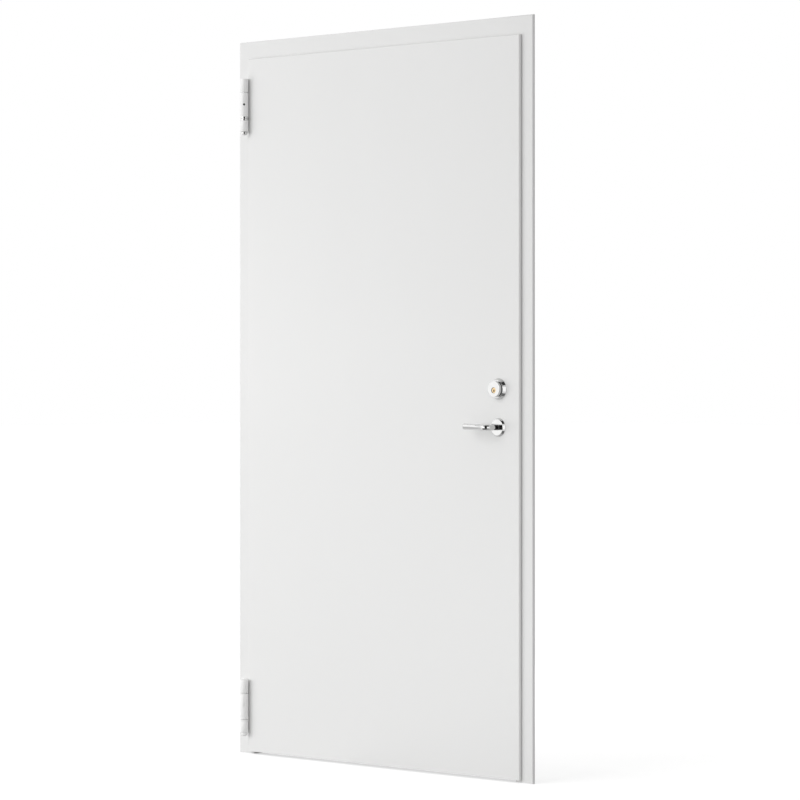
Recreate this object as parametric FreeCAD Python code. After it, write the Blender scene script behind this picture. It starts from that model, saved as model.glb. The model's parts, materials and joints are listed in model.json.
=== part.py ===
import FreeCAD, Part
import math
import os

# Fire rated steel door: a folded steel leaf with a lap, hung on two barrel hinges
# in a folded steel frame, with a round lock cylinder and a lever on round roses.
# Millimetres. X runs along the width, the front faces -Y and Z is up.
# The origin is on the wall side of the hinge jamb's flange, at its middle, at floor level.

# Frame, outside sizes and the folds of its one profile
frame_width = 1190.0
frame_height = 2090.0
frame_sheet = 2.0
frame_bend = 1.5
face_width = 65.0
flange_depth = 10.6
bearing_width = 14.0
stop_width = 20.0
throat_depth = 23.0
return_width = 10.0
parting_flat = 2.0

# Leaf
leaf_thickness = 60.0
leaf_proud = 10.6
lap_gap = 2.0
lap_on_hinge_jamb = 15.5
lap_on_lock_jamb = 24.5
lap_on_head = 13.0
edge_gap = 8.0
top_gap = 7.0
floor_gap = 7.0
leaf_sheet = 1.5
lap_bend = 3.0
lap_turn_in = 12.0

# Seals and fire strips
stop_gap = 6.0
seal_width = 10.0
seal_base = 2.2
seal_base_rounding = 0.6
seal_lip_width = 6.2
seal_lip_rounding = 2.79
seal_clearance = 0.4
strip_width = 12.0
strip_thickness = 1.5
strip_setback = 3.0

# Hinges
upper_hinge_below_top = 110.0
lower_hinge_top = 218.0
barrel_diameter = 24.0
barrel_clearance = 1.0
pin_outside_lap = 2.5
top_knuckle = 39.0
knuckle_seam = 1.8
leaf_knuckle = 70.0
bearing_ring = 5.5
ring_seam = 1.0
ring_diameter = 24.6
bottom_knuckle = 32.0
pin_diameter = 14.0
pin_fit = 0.05
pin_end_gap = 1.0
knuckle_cap = 5.0
tip_height = 10.5
tip_diameter = 19.0
tip_rim = 2.625
tip_rings = 3
tip_gap = 0.5
leg_thickness = 8.0
hinge_plate = 5.0
hinge_plate_width = 26.0
hinge_plate_gap = 10.0
leaf_leg_gap = 4.0
grub_diameter = 6.0
grub_clearance = 0.1
grub_angle = 45.0

# Lock and its plate in the leaf's edge
backset = 45.5
lever_height = 967.0
cylinder_height = 1072.0
forend_length = 235.0
forend_width = 24.0
forend_thickness = 3.0
forend_clearance = 0.2
forend_below_lever = 67.0
case_length = 165.0
case_depth = 72.0
case_thickness = 16.0
case_below_lever = 42.0
bolt_width = 12.0
latch_length = 28.0
latch_above_lever = 18.0
dead_bolt_length = 36.0
dead_bolt_above_lever = 72.0
bolt_clearance = 0.4
bolt_depth = 18.0

# Strike in the lock jamb
strike_margin = 3.0
strike_hole_margin = 3.0
strike_box_depth = 24.0
strike_box_wall = 2.0
strike_block = 12.0

# Cylinder
ring_base_diameter = 59.0
ring_rim = 1.2
ring_front_diameter = 47.0
ring_height = 10.0
ring_fit = 0.1
collar_diameter = 44.6
collar_height = 20.0
collar_edge = 1.2
housing_diameter = 32.0
housing_inside = 20.0
plug_diameter = 15.6
plug_drop = 3.5
plug_recess = 1.6
plug_length = 36.0
plug_fit = 0.05
plug_end_gap = 0.5
key_slot_width = 1.8
key_slot_height = 8.0
key_slot_depth = 24.0
turn_plate_height = 6.0
turn_plate_diameter = 42.0
turn_wing_length = 34.0
turn_wing_width = 9.0
turn_wing_height = 16.0
turn_wing_edge = 2.4

# Lever and its roses
rose_diameter = 51.0
rose_height = 7.0
rose_edge = 1.4
neck_diameter = 15.6
neck_fit = 0.06
neck_start = 0.5
lever_reach = 49.0
elbow_radius = 12.0
grip_length = 99.0
grip_depth = 10.4
grip_end = 4.0
flat_setback = 0.6
grip_tip_reach = 38.0
grip_rise = 4.4
spindle_width = 8.0
spindle_grip = 26.0
spindle_hole_diameter = 20.0
case_hole_diameter = 13.6

# Fixings through the jambs
fixing_hole_diameter = 12.0
fixing_setback = 22.0
fixing_from_end = 220.0
fixing_from_strike = 200.0
sleeve_across_flats = 19.0
sleeve_length = 14.0

# How far a cutting body runs past the piece that it cuts
overshoot = 1.0

# Places that follow from the sizes
frame_left = -bearing_width / 2
frame_right = frame_left + frame_width
face_y = -flange_depth
reveal_left = frame_left + face_width
reveal_right = frame_right - face_width
reveal_top = frame_height - face_width
leaf_front = face_y - leaf_proud
leaf_back = leaf_front + leaf_thickness
leaf_middle = (leaf_front + leaf_back) / 2
stop_y = leaf_back + stop_gap
frame_back = stop_y + throat_depth
strike_front = leaf_middle - forend_width / 2
strike_back = leaf_middle + forend_width / 2
face_parting = max(strike_front, face_y + frame_sheet + frame_bend)
stop_parting = stop_y - frame_sheet - frame_bend - parting_flat
lap_left = reveal_left - lap_on_hinge_jamb
lap_right = reveal_right + lap_on_lock_jamb
lap_top = reveal_top + lap_on_head
lap_back = face_y - lap_gap
body_left = reveal_left + edge_gap
body_right = reveal_right - edge_gap
body_top = reveal_top - top_gap
lock_x = body_right - backset
hinge_x = lap_left - pin_outside_lap
hinge_y = leaf_front - barrel_clearance - barrel_diameter / 2
forend_bottom = lever_height - forend_below_lever
forend_top = forend_bottom + forend_length
upper_hinge_top = frame_height - upper_hinge_below_top
fixing_heights = (
    fixing_from_end,
    forend_bottom - fixing_from_strike,
    forend_top + fixing_from_strike,
    frame_height - fixing_from_end,
)
latch_z = lever_height + latch_above_lever
dead_bolt_z = lever_height + dead_bolt_above_lever
plug_z = cylinder_height - plug_drop


def box(low_x, high_x, low_y, high_y, low_z, high_z):
    size = (high_x - low_x, high_y - low_y, high_z - low_z)
    return Part.makeBox(*size, FreeCAD.Vector(low_x, low_y, low_z))


def round_bar(diameter, start, end):
    """Cylinder between two points."""
    start = FreeCAD.Vector(*start)
    run = FreeCAD.Vector(*end) - start
    return Part.makeCylinder(diameter / 2, run.Length, start, run)


def rounded_face(corners):
    """Flat face in XY with the given corners, each one (x, y, radius)."""
    points = [FreeCAD.Vector(x, y, 0) for x, y, radius in corners]
    edges = []
    ends = []
    for i, (x, y, radius) in enumerate(corners):
        point = points[i]
        run_in = (point - points[i - 1]).normalize()
        run_out = (points[(i + 1) % len(points)] - point).normalize()
        turn = math.atan2(run_in.x * run_out.y - run_in.y * run_out.x, run_in.dot(run_out))
        if radius <= 0 or abs(turn) < 1e-6:
            ends.append((point, point))
            continue
        setback = radius * math.tan(abs(turn) / 2)
        start = point - run_in * setback
        end = point + run_out * setback
        centre = start + FreeCAD.Vector(-run_in.y, run_in.x, 0) * math.copysign(radius, turn)
        middle = centre + (point - centre).normalize() * radius
        edges.append(Part.Arc(start, middle, end).toShape())
        ends.append((start, end))
    for i, (start, end) in enumerate(ends):
        last = ends[i - 1][1]
        if (start - last).Length > 1e-6:
            edges.append(Part.LineSegment(last, start).toShape())
    return Part.Face(Part.Wire(Part.sortEdges(edges)[0]))


def folded_face(points, thickness, radius):
    """Section of a folded sheet. The points run along its outside, with the steel on their left."""
    path = [FreeCAD.Vector(x, y, 0) for x, y in points]
    lefts = []
    for start, end in zip(path, path[1:]):
        run = (end - start).normalize()
        lefts.append(FreeCAD.Vector(-run.y, run.x, 0))
    outside = [(path[0].x, path[0].y, 0)]
    first = path[0] + lefts[0] * thickness
    inside = [(first.x, first.y, 0)]
    for i in range(1, len(path) - 1):
        before = lefts[i - 1]
        after = lefts[i]
        corner = path[i] + (before + after) * (thickness / (1 + before.dot(after)))
        left_turn = before.x * after.y - before.y * after.x > 0
        outer_radius = radius + thickness
        outside.append((path[i].x, path[i].y, outer_radius if left_turn else radius))
        inside.append((corner.x, corner.y, radius if left_turn else outer_radius))
    last = path[-1] + lefts[-1] * thickness
    outside.append((path[-1].x, path[-1].y, 0))
    inside.append((last.x, last.y, 0))
    return rounded_face(outside + inside[::-1])


def outline_face(corners):
    """Flat face in XY with straight sides between the given corners, each one (x, y)."""
    points = [FreeCAD.Vector(x, y, 0) for x, y in corners]
    return Part.Face(Part.makePolygon(points + points[:1]))


def turned(corners, x, z, base_y):
    """Body of revolution that stands out of the leaf's front. Corners are (radius, height)."""
    body = outline_face(corners).revolve(FreeCAD.Vector(), FreeCAD.Vector(0, 1, 0), 360)
    body.rotate(FreeCAD.Vector(), FreeCAD.Vector(1, 0, 0), 180)
    body.translate(FreeCAD.Vector(x, base_y, z))
    return body


def eased_edge(radius, height, edge):
    """Corners of a turned outer edge that is eased by a short cone."""
    return [(radius, height - edge), (radius - edge, height)]


def to_inner_side(shape):
    """The same piece on the other side of the leaf."""
    return shape.mirror(FreeCAD.Vector(0, leaf_middle, 0), FreeCAD.Vector(0, 1, 0))


def save(name, *solids):
    shape = solids[0] if len(solids) == 1 else Part.makeCompound(list(solids))
    shape.exportStep(os.path.join("parts", name + ".step"))


# Frame


def frame_section(first, last):
    """Section of the frame's one folded sheet, from one of its corners to another.

    X is the distance from the frame's outer edge, Y the depth. Corners 4 and 5 lie on the flat
    of the reveal, where the jambs are parted into face, reveal and stop: the first in line with
    the front of the strike's window.
    """
    corners = [
        (bearing_width, 0),
        (0, 0),
        (0, face_y),
        (face_width, face_y),
        (face_width, face_parting),
        (face_width, stop_parting),
        (face_width, stop_y),
        (face_width + stop_width, stop_y),
        (face_width + stop_width, frame_back),
        (face_width + stop_width - return_width, frame_back),
    ]
    return folded_face(corners[first:last + 1], frame_sheet, frame_bend)


def mitre_keep(low_z, high_z):
    """Wedge that keeps what lies outside the 45 degree mitre of the left top corner."""
    reach = face_width + stop_width + frame_sheet
    corners = [
        FreeCAD.Vector(frame_left - frame_sheet, 0, low_z),
        FreeCAD.Vector(frame_left + reach, 0, low_z),
        FreeCAD.Vector(frame_left + reach, 0, high_z - reach),
        FreeCAD.Vector(frame_left - frame_sheet, 0, high_z + frame_sheet),
    ]
    face = Part.Face(Part.makePolygon(corners + corners[:1]))
    face.translate(FreeCAD.Vector(0, face_y - frame_sheet, 0))
    return face.extrude(FreeCAD.Vector(0, frame_back - face_y + 2 * frame_sheet, 0))


def mirrored_across(shape):
    """The same piece at the other jamb."""
    middle = FreeCAD.Vector((frame_left + frame_right) / 2, 0, 0)
    return shape.mirror(middle, FreeCAD.Vector(1, 0, 0))


def jamb_part(first, last):
    """Part of the hinge jamb between two corners of its section, mitred at its top."""
    part = frame_section(first, last).extrude(FreeCAD.Vector(0, 0, frame_height))
    part.translate(FreeCAD.Vector(frame_left, 0, 0))
    return part.common(mitre_keep(-frame_sheet, frame_height))


def jamb_face():
    """The bearing strip on the wall, the flange's edge and the face, up to the reveal."""
    return jamb_part(0, 4)


def jamb_reveal():
    """The flat side of the opening, drilled for the fixings."""
    reveal = jamb_part(4, 5)
    for height in fixing_heights:
        reveal = reveal.cut(fixing_bar(fixing_hole_diameter, -frame_sheet, frame_sheet, height))
    return reveal


def jamb_stop():
    """The stop that carries the seal, the throat behind it and the return on the wall's side."""
    return jamb_part(5, 9)


def fixing_bar(diameter, low, high, height):
    """Round bar through the hinge jamb's reveal, from low to high off the back of its sheet."""
    back = reveal_left - frame_sheet
    y = face_y + fixing_setback
    return round_bar(diameter, (back + low, y, height), (back + high + frame_sheet, y, height))


def sleeves():
    """Threaded sleeves of hexagon bar that stand on the back of the jamb, round its fixing holes."""
    radius = sleeve_across_flats / math.sqrt(3)
    corners = []
    for corner in range(6):
        angle = math.radians(60 * corner)
        corners.append((radius * math.sin(angle), radius * math.cos(angle)))
    back = reveal_left - frame_sheet
    solids = []
    for height in fixing_heights:
        bar = outline_face(corners).extrude(FreeCAD.Vector(0, 0, sleeve_length))
        bar.rotate(FreeCAD.Vector(), FreeCAD.Vector(0, 1, 0), -90)
        bar.translate(FreeCAD.Vector(back, face_y + fixing_setback, height))
        solids.append(bar.cut(fixing_bar(fixing_hole_diameter, -2 * sleeve_length, frame_sheet, height)))
    return solids


def frame_head():
    head = frame_section(0, 9).extrude(FreeCAD.Vector(0, 0, frame_width))
    head.rotate(FreeCAD.Vector(), FreeCAD.Vector(0, 1, 0), 90)
    head.translate(FreeCAD.Vector(frame_left, 0, frame_height))
    wedge = mitre_keep(-frame_sheet, frame_height)
    return head.cut(wedge).cut(mirrored_across(wedge))


def strike_holes(low_x, high_x):
    """Bars through the two holes of the strike, with room round the bolts."""
    half = bolt_width / 2 + strike_hole_margin
    bars = []
    for z, length in ((latch_z, latch_length), (dead_bolt_z, dead_bolt_length)):
        reach = length / 2 + strike_hole_margin
        bars.append(box(low_x, high_x, leaf_middle - half, leaf_middle + half, z - reach, z + reach))
    return bars


def strike_outline(margin):
    return strike_front - margin, strike_back + margin, forend_bottom - margin, forend_top + margin


def strike_window():
    """Room in the lock jamb for the strike's plate."""
    return box(reveal_right - frame_sheet, reveal_right + 2 * frame_sheet, *strike_outline(0))


def lock_jamb_band(low_z, high_z):
    """Stretch of the lock jamb's reveal, without the strike's window."""
    room = box(reveal_right - frame_sheet, reveal_right + 2 * frame_sheet, face_y, frame_back, low_z, high_z)
    return mirrored_across(jamb_reveal()).common(room).cut(strike_window())


def strike_plate():
    """Flush plate in the window of the lock jamb, with a hole for each bolt."""
    plate = box(reveal_right, reveal_right + frame_sheet, *strike_outline(-forend_clearance))
    for bar in strike_holes(reveal_right - frame_sheet, reveal_right + 2 * frame_sheet):
        plate = plate.cut(bar)
    return plate


def strike_box():
    """Box welded to the back of the jamb that takes both bolts, with a block at each end for the plate."""
    front = reveal_right + frame_sheet
    back = front + strike_box_depth
    outer = box(front, back, *strike_outline(strike_margin))
    low_y, high_y, low_z, high_z = strike_outline(strike_margin - strike_box_wall)
    hollow = box(
        front - frame_sheet, back - strike_box_wall,
        low_y, high_y, low_z + strike_block, high_z - strike_block,
    )
    return outer.cut(hollow)


def seal_profile():
    """Section of the seal: a flat base on the stop and a hollow lip that the leaf closes on."""
    height = stop_gap - seal_clearance
    half = seal_width / 2
    crown = seal_lip_width / 2
    return rounded_face([
        (-half, 0, 0),
        (half, 0, 0),
        (half, -seal_base, seal_base_rounding),
        (crown, -seal_base, 0),
        (crown, -height, seal_lip_rounding),
        (-crown, -height, seal_lip_rounding),
        (-crown, -seal_base, 0),
        (-half, -seal_base, seal_base_rounding),
    ])


def side_seal():
    seal_x = reveal_left + stop_width / 2 + frame_bend
    seal = seal_profile().extrude(FreeCAD.Vector(0, 0, reveal_top - stop_width))
    seal.translate(FreeCAD.Vector(seal_x, stop_y, 0))
    return seal


def head_seal():
    length = reveal_right - reveal_left - 2 * frame_bend
    seal = seal_profile().extrude(FreeCAD.Vector(0, 0, length))
    seal.rotate(FreeCAD.Vector(), FreeCAD.Vector(0, 1, 0), 90)
    seal_z = reveal_top - stop_width / 2 - frame_bend
    seal.translate(FreeCAD.Vector(reveal_left + frame_bend, stop_y, seal_z))
    return seal


# Leaf


def front_rounded(outline, radius):
    """Box whose front edges are rounded, apart from the one along its bottom."""
    low_y, low_z = outline[2], outline[4]
    block = box(*outline)
    edges = []
    for edge in block.Edges:
        middle = edge.CenterOfMass
        if abs(middle.y - low_y) < 1e-6 and middle.z > low_z + radius:
            edges.append(edge)
    return block.makeFillet(radius, edges)


def leaf_front_panel():
    """Front tray. Its edge is the lap all round but at the bottom, turned in behind the leaf's sides."""
    tray = front_rounded((lap_left, lap_right, leaf_front, lap_back, floor_gap, lap_top), lap_bend)
    hollow = front_rounded((
        lap_left + leaf_sheet, lap_right - leaf_sheet,
        leaf_front + leaf_sheet, lap_back - leaf_sheet,
        floor_gap + leaf_sheet, lap_top - leaf_sheet,
    ), lap_bend - leaf_sheet)
    panel = tray.cut(hollow).cut(tray_mouth(lap_back + leaf_sheet))
    return panel.cut(spindle_hole()).cut(cylinder_hole())


def tray_mouth(high_y):
    """Room inside the front tray's turned-in edge, from its sheet back to high_y."""
    return box(
        body_left + lap_turn_in, body_right - lap_turn_in, leaf_front + leaf_sheet, high_y,
        floor_gap + lap_turn_in, body_top - lap_turn_in,
    )


def leaf_back_panel():
    """Deep back tray that makes the leaf's sides and stands on the front tray's turned-in edge."""
    tray = box(body_left, body_right, lap_back, leaf_back, floor_gap, body_top)
    panel = tray.cut(tray_hollow(lap_back - leaf_sheet)).cut(forend_window())
    return panel.cut(spindle_hole()).cut(cylinder_hole())


def tray_hollow(low_y):
    """Room inside the back tray, from low_y back to its sheet."""
    return box(
        body_left + leaf_sheet, body_right - leaf_sheet, low_y, leaf_back - leaf_sheet,
        floor_gap + leaf_sheet, body_top - leaf_sheet,
    )


def leaf_core():
    """Mineral wool that fills both trays, cut out round the lock."""
    core = tray_mouth(lap_back).fuse(tray_hollow(lap_back))
    pocket = lock_case_block().fuse(forend_window())
    return core.cut(pocket).cut(spindle_hole()).cut(cylinder_hole())


def forend_window():
    """Room for the lock's edge plate in the leaf's lock side."""
    half = forend_width / 2 + forend_clearance
    return box(
        body_right - forend_thickness, body_right + leaf_sheet,
        leaf_middle - half, leaf_middle + half,
        forend_bottom - forend_clearance, forend_top + forend_clearance,
    )


def spindle_hole():
    start = (lock_x, leaf_front - leaf_sheet, lever_height)
    end = (lock_x, leaf_back + leaf_sheet, lever_height)
    return round_bar(spindle_hole_diameter, start, end)


def cylinder_hole():
    start = (lock_x, leaf_front - leaf_sheet, cylinder_height)
    end = (lock_x, leaf_back + leaf_sheet, cylinder_height)
    return round_bar(housing_diameter + 2 * ring_fit, start, end)


def lock_case_block():
    low_z = lever_height - case_below_lever
    return box(
        body_right - forend_thickness - case_depth, body_right - forend_thickness,
        leaf_middle - case_thickness / 2, leaf_middle + case_thickness / 2,
        low_z, low_z + case_length,
    )


def bolt_block(z, length, clearance):
    """A bolt drawn back flush with the edge plate, with room round it where asked."""
    half = bolt_width / 2 + clearance
    reach = length / 2 + clearance
    return box(
        body_right - bolt_depth - clearance, body_right + clearance,
        leaf_middle - half, leaf_middle + half, z - reach, z + reach,
    )


def bolt_slots():
    latch = bolt_block(latch_z, latch_length, bolt_clearance)
    return latch.fuse(bolt_block(dead_bolt_z, dead_bolt_length, bolt_clearance))


def lock_case():
    case = lock_case_block().cut(bolt_slots())
    start = (lock_x, leaf_front, lever_height)
    follower = round_bar(case_hole_diameter, start, (lock_x, leaf_back, lever_height))
    return case.cut(follower).cut(cylinder_hole())


def lock_forend():
    half = forend_width / 2
    plate = box(
        body_right - forend_thickness, body_right,
        leaf_middle - half, leaf_middle + half, forend_bottom, forend_top,
    )
    return plate.cut(bolt_slots())


def fire_strips():
    """Strips that swell in a fire, on the leaf's edges just behind the lap."""
    low_y = lap_back + strip_setback
    high_y = low_y + strip_width
    bottom = floor_gap + strip_setback
    hinge_strip = box(body_left - strip_thickness, body_left, low_y, high_y, bottom, body_top)
    strip_right = body_right + strip_thickness
    lower = box(body_right, strip_right, low_y, high_y, bottom, forend_bottom - strip_setback)
    upper = box(body_right, strip_right, low_y, high_y, forend_top + strip_setback, body_top)
    top = box(body_left, body_right, low_y, high_y, body_top, body_top + strip_thickness)
    return [hinge_strip, lower, upper, top]


# Hinges


def on_hinge(height):
    return (hinge_x, hinge_y, height)


def hinge_levels(top):
    """Heights of a hinge's joints, from the top down."""
    levels = {"top": top}
    levels["seam_top"] = top - top_knuckle
    levels["leaf_top"] = levels["seam_top"] - knuckle_seam
    levels["leaf_bottom"] = levels["leaf_top"] - leaf_knuckle
    levels["ring_seam"] = levels["leaf_bottom"] - bearing_ring
    levels["lower_ring"] = levels["ring_seam"] - ring_seam
    levels["frame_top"] = levels["lower_ring"] - bearing_ring
    levels["frame_bottom"] = levels["frame_top"] - bottom_knuckle
    levels["tip_top"] = levels["frame_bottom"] - tip_gap
    levels["tip_bottom"] = levels["tip_top"] - tip_height
    return levels


def hinge_frame_half(top):
    """Two knuckles on legs from one plate, welded to the hinge jamb's face."""
    level = hinge_levels(top)
    half = None
    for low, high in ((level["seam_top"], level["top"]), (level["frame_bottom"], level["frame_top"])):
        knuckle = round_bar(barrel_diameter, on_hinge(low), on_hinge(high))
        leg_left = hinge_x - barrel_diameter / 2
        leg = box(leg_left, leg_left + leg_thickness, hinge_y, face_y, low, high)
        knuckle = knuckle.fuse(leg)
        half = knuckle if half is None else half.fuse(knuckle)
    plate_right = hinge_x - hinge_plate_gap
    plate_left = plate_right - hinge_plate_width
    plate = box(plate_left, plate_right, face_y - hinge_plate, face_y, level["frame_bottom"], level["top"])
    half = half.fuse(plate).removeSplitter()
    bore_end = level["top"] - knuckle_cap
    bore_start = level["frame_bottom"] - tip_gap
    bore = round_bar(pin_diameter + 2 * pin_fit, on_hinge(bore_start), on_hinge(bore_end))
    return half.cut(bore)


def hinge_leaf_half(top):
    """Middle knuckle on a leg that is welded to the lap's edge."""
    level = hinge_levels(top)
    low, high = level["leaf_bottom"], level["leaf_top"]
    knuckle = round_bar(barrel_diameter, on_hinge(low), on_hinge(high))
    leg = box(hinge_x - leaf_leg_gap, lap_left, hinge_y, lap_back - lap_gap, low, high)
    knuckle = knuckle.fuse(leg).removeSplitter()
    knuckle = knuckle.cut(round_bar(pin_diameter, on_hinge(low - overshoot), on_hinge(high + overshoot)))
    return knuckle.cut(grub_bar(top, grub_diameter + 2 * grub_clearance, barrel_diameter))


def grub_bar(top, diameter, reach):
    """Radial bar from the pin outwards, halfway up the leaf's knuckle."""
    level = hinge_levels(top)
    height = (level["leaf_bottom"] + level["leaf_top"]) / 2
    angle = math.radians(grub_angle)
    out = FreeCAD.Vector(math.sin(angle), -math.cos(angle), 0)
    centre = FreeCAD.Vector(*on_hinge(height))
    start = centre + out * (pin_diameter / 2)
    return Part.makeCylinder(diameter / 2, reach - pin_diameter / 2, start, out)


def hinge_grub_screw(top):
    return grub_bar(top, grub_diameter, barrel_diameter / 2 - grub_clearance)


def hinge_pin(top):
    """Pin with a domed end, turned in short cones, below the last knuckle."""
    level = hinge_levels(top)
    pin_top = level["top"] - knuckle_cap - pin_end_gap
    tip_radius = tip_diameter / 2
    dome_height = tip_height - tip_rim
    corners = [(0, level["tip_bottom"])]
    for ring in range(tip_rings):
        angle = math.pi / 2 * (ring + 0.5) / tip_rings
        rise = dome_height * (1 - math.cos(angle))
        corners.append((tip_radius * math.sin(angle), level["tip_bottom"] + rise))
    corners += [
        (tip_radius, level["tip_top"]),
        (pin_diameter / 2, level["tip_top"]),
        (pin_diameter / 2, pin_top),
        (0, pin_top),
    ]
    pin = outline_face(corners).revolve(FreeCAD.Vector(), FreeCAD.Vector(0, 1, 0), 360)
    pin.rotate(FreeCAD.Vector(), FreeCAD.Vector(1, 0, 0), 90)
    pin.translate(FreeCAD.Vector(*on_hinge(0)))
    return pin


def bearing(low, high, fit):
    outside = round_bar(ring_diameter, on_hinge(low), on_hinge(high))
    bore = round_bar(pin_diameter + 2 * fit, on_hinge(low - overshoot), on_hinge(high + overshoot))
    return outside.cut(bore)


# Lock furniture


def cylinder_ring():
    """Conical ring round the cylinder's collar."""
    bore = collar_diameter / 2 + ring_fit
    corners = [
        (bore, 0),
        (ring_base_diameter / 2, 0),
        (ring_base_diameter / 2, ring_rim),
        (ring_front_diameter / 2, ring_height),
        (bore, ring_height),
    ]
    return turned(corners, lock_x, cylinder_height, leaf_front)


def plug_bar(diameter, low, high):
    """Bar on the plug's axis, from low to high out of the leaf's front."""
    return round_bar(diameter, (lock_x, leaf_front - low, plug_z), (lock_x, leaf_front - high, plug_z))


def cylinder_housing():
    """Collar with a flat polished face, bored below its middle for the plug."""
    corners = [
        (0, -housing_inside),
        (housing_diameter / 2, -housing_inside),
        (housing_diameter / 2, 0),
        (collar_diameter / 2, 0),
        *eased_edge(collar_diameter / 2, collar_height, collar_edge),
        (0, collar_height),
    ]
    housing = turned(corners, lock_x, cylinder_height, leaf_front)
    plug_end = collar_height - plug_recess - plug_length - plug_end_gap
    return housing.cut(plug_bar(plug_diameter + 2 * plug_fit, plug_end, collar_height + overshoot))


def key_plug():
    front = collar_height - plug_recess
    plug = plug_bar(plug_diameter, front - plug_length, front)
    half = key_slot_width / 2
    slot = box(
        lock_x - half, lock_x + half,
        leaf_front - front - overshoot, leaf_front - front + key_slot_depth,
        plug_z - key_slot_height / 2, plug_z + key_slot_height / 2,
    )
    return plug.cut(slot)


def thumb_turn():
    """Turn for the lock on the inner side: a round plate with a wing across it."""
    plate = turned([
        (0, 0),
        (turn_plate_diameter / 2, 0),
        *eased_edge(turn_plate_diameter / 2, ring_height + turn_plate_height, collar_edge),
        (0, ring_height + turn_plate_height),
    ], lock_x, cylinder_height, leaf_front)
    start = leaf_front - ring_height - turn_plate_height
    wing = box(
        lock_x - turn_wing_width / 2, lock_x + turn_wing_width / 2,
        start - turn_wing_height, start,
        cylinder_height - turn_wing_length / 2, cylinder_height + turn_wing_length / 2,
    )
    across = [edge for edge in wing.Edges if abs(edge.CenterOfMass.y - start) > 1e-6]
    wing = wing.makeChamfer(turn_wing_edge, across)
    return to_inner_side(plate.fuse(wing).removeSplitter())


def rose():
    """Round flat rose that the lever's neck turns in."""
    bore = neck_diameter / 2 + neck_fit
    corners = [
        (bore, 0),
        (rose_diameter / 2, 0),
        *eased_edge(rose_diameter / 2, rose_height, rose_edge),
        (bore, rose_height),
    ]
    return turned(corners, lock_x, lever_height, leaf_front)


def lever():
    """Neck, elbow and a round bar that is cut flat on two sides and comes back towards the leaf."""
    radius = neck_diameter / 2
    out = FreeCAD.Vector(0, -1, 0)
    neck_foot = FreeCAD.Vector(lock_x, leaf_front - neck_start, lever_height)
    neck_end = FreeCAD.Vector(lock_x, leaf_front - lever_reach + elbow_radius, lever_height)
    run = FreeCAD.Vector(elbow_radius - grip_length, lever_reach - grip_tip_reach, grip_rise).normalize()
    aside = (run - out * run.dot(out)).normalize()
    pivot = neck_end + aside * elbow_radius
    turn = math.degrees(out.getAngle(run))
    disc = Part.Face(Part.Wire(Part.Circle(neck_end, out, radius).toShape()))
    elbow = disc.revolve(pivot, out.cross(run), turn)
    grip_start = pivot + FreeCAD.Rotation(out.cross(run), turn).multVec(neck_end - pivot)
    reach = (grip_start.x - lock_x + grip_length) / -run.x
    whole = round_bar(neck_diameter, neck_foot, neck_end).fuse(elbow).fuse(grip_bar(grip_start, run, reach))
    half = spindle_width / 2
    socket = box(
        lock_x - half, lock_x + half, leaf_front - spindle_grip, leaf_front,
        lever_height - half, lever_height + half,
    )
    return whole.cut(socket)


def grip_bar(start, run, reach):
    """Bar with an eased end, cut by a wedge that thins it towards the tip."""
    radius = neck_diameter / 2
    bar = outline_face([
        (0, 0),
        (radius, 0),
        *eased_edge(radius, reach, grip_end),
        (0, reach),
    ]).revolve(FreeCAD.Vector(), FreeCAD.Vector(0, 1, 0), 360)
    wedge = outline_face([
        (-radius - flat_setback, 0),
        (radius + flat_setback, 0),
        (grip_depth / 2, reach),
        (-grip_depth / 2, reach),
    ]).extrude(FreeCAD.Vector(0, 0, 2 * neck_diameter))
    wedge.translate(FreeCAD.Vector(0, 0, -neck_diameter))
    bar = bar.common(wedge)
    up = FreeCAD.Vector(0, 0, 1)
    across = run.cross(up).normalize()
    bar.Placement = FreeCAD.Placement(start, FreeCAD.Rotation(across, run, across.cross(run), "YXZ"))
    return bar


def lever_spindle():
    """Square bar through the lock, from one lever's socket to the other."""
    half = spindle_width / 2
    return box(
        lock_x - half, lock_x + half, leaf_front - spindle_grip, leaf_back + spindle_grip,
        lever_height - half, lever_height + half,
    )


os.makedirs("parts", exist_ok=True)

save("hinge_jamb_face", jamb_face())
save("hinge_jamb_reveal", jamb_reveal())
save("hinge_jamb_stop", jamb_stop())
save("lock_jamb_face", mirrored_across(jamb_face()).cut(strike_window()))
save("lock_jamb_reveal", lock_jamb_band(0, forend_bottom), lock_jamb_band(forend_top, frame_height))
save("lock_jamb_strike_web", lock_jamb_band(forend_bottom, forend_top))
save("lock_jamb_stop", mirrored_across(jamb_stop()))
save("frame_head", frame_head())
save("hinge_side_seal", side_seal())
save("lock_side_seal", mirrored_across(side_seal()))
save("head_seal", head_seal())
save("hinge_jamb_sleeves", *sleeves())
save("lock_jamb_sleeves", *[mirrored_across(sleeve) for sleeve in sleeves()])
save("strike_plate", strike_plate())
save("strike_box", strike_box())

save("leaf_front_panel", leaf_front_panel())
save("leaf_back_panel", leaf_back_panel())
save("leaf_core", leaf_core())
save("fire_strips", *fire_strips())
save("lock_case", lock_case())
save("lock_forend", lock_forend())
save("latch_bolt", bolt_block(latch_z, latch_length, 0))
save("dead_bolt", bolt_block(dead_bolt_z, dead_bolt_length, 0))

tops = (upper_hinge_top, lower_hinge_top)
levels = [hinge_levels(top) for top in tops]
save("hinge_frame_halves", *[hinge_frame_half(top) for top in tops])
save("hinge_leaf_halves", *[hinge_leaf_half(top) for top in tops])
save("hinge_pins", *[hinge_pin(top) for top in tops])
save("hinge_leaf_rings", *[bearing(level["ring_seam"], level["leaf_bottom"], 0) for level in levels])
save("hinge_frame_rings", *[bearing(level["frame_top"], level["lower_ring"], pin_fit) for level in levels])
save("hinge_grub_screws", *[hinge_grub_screw(top) for top in tops])

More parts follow.
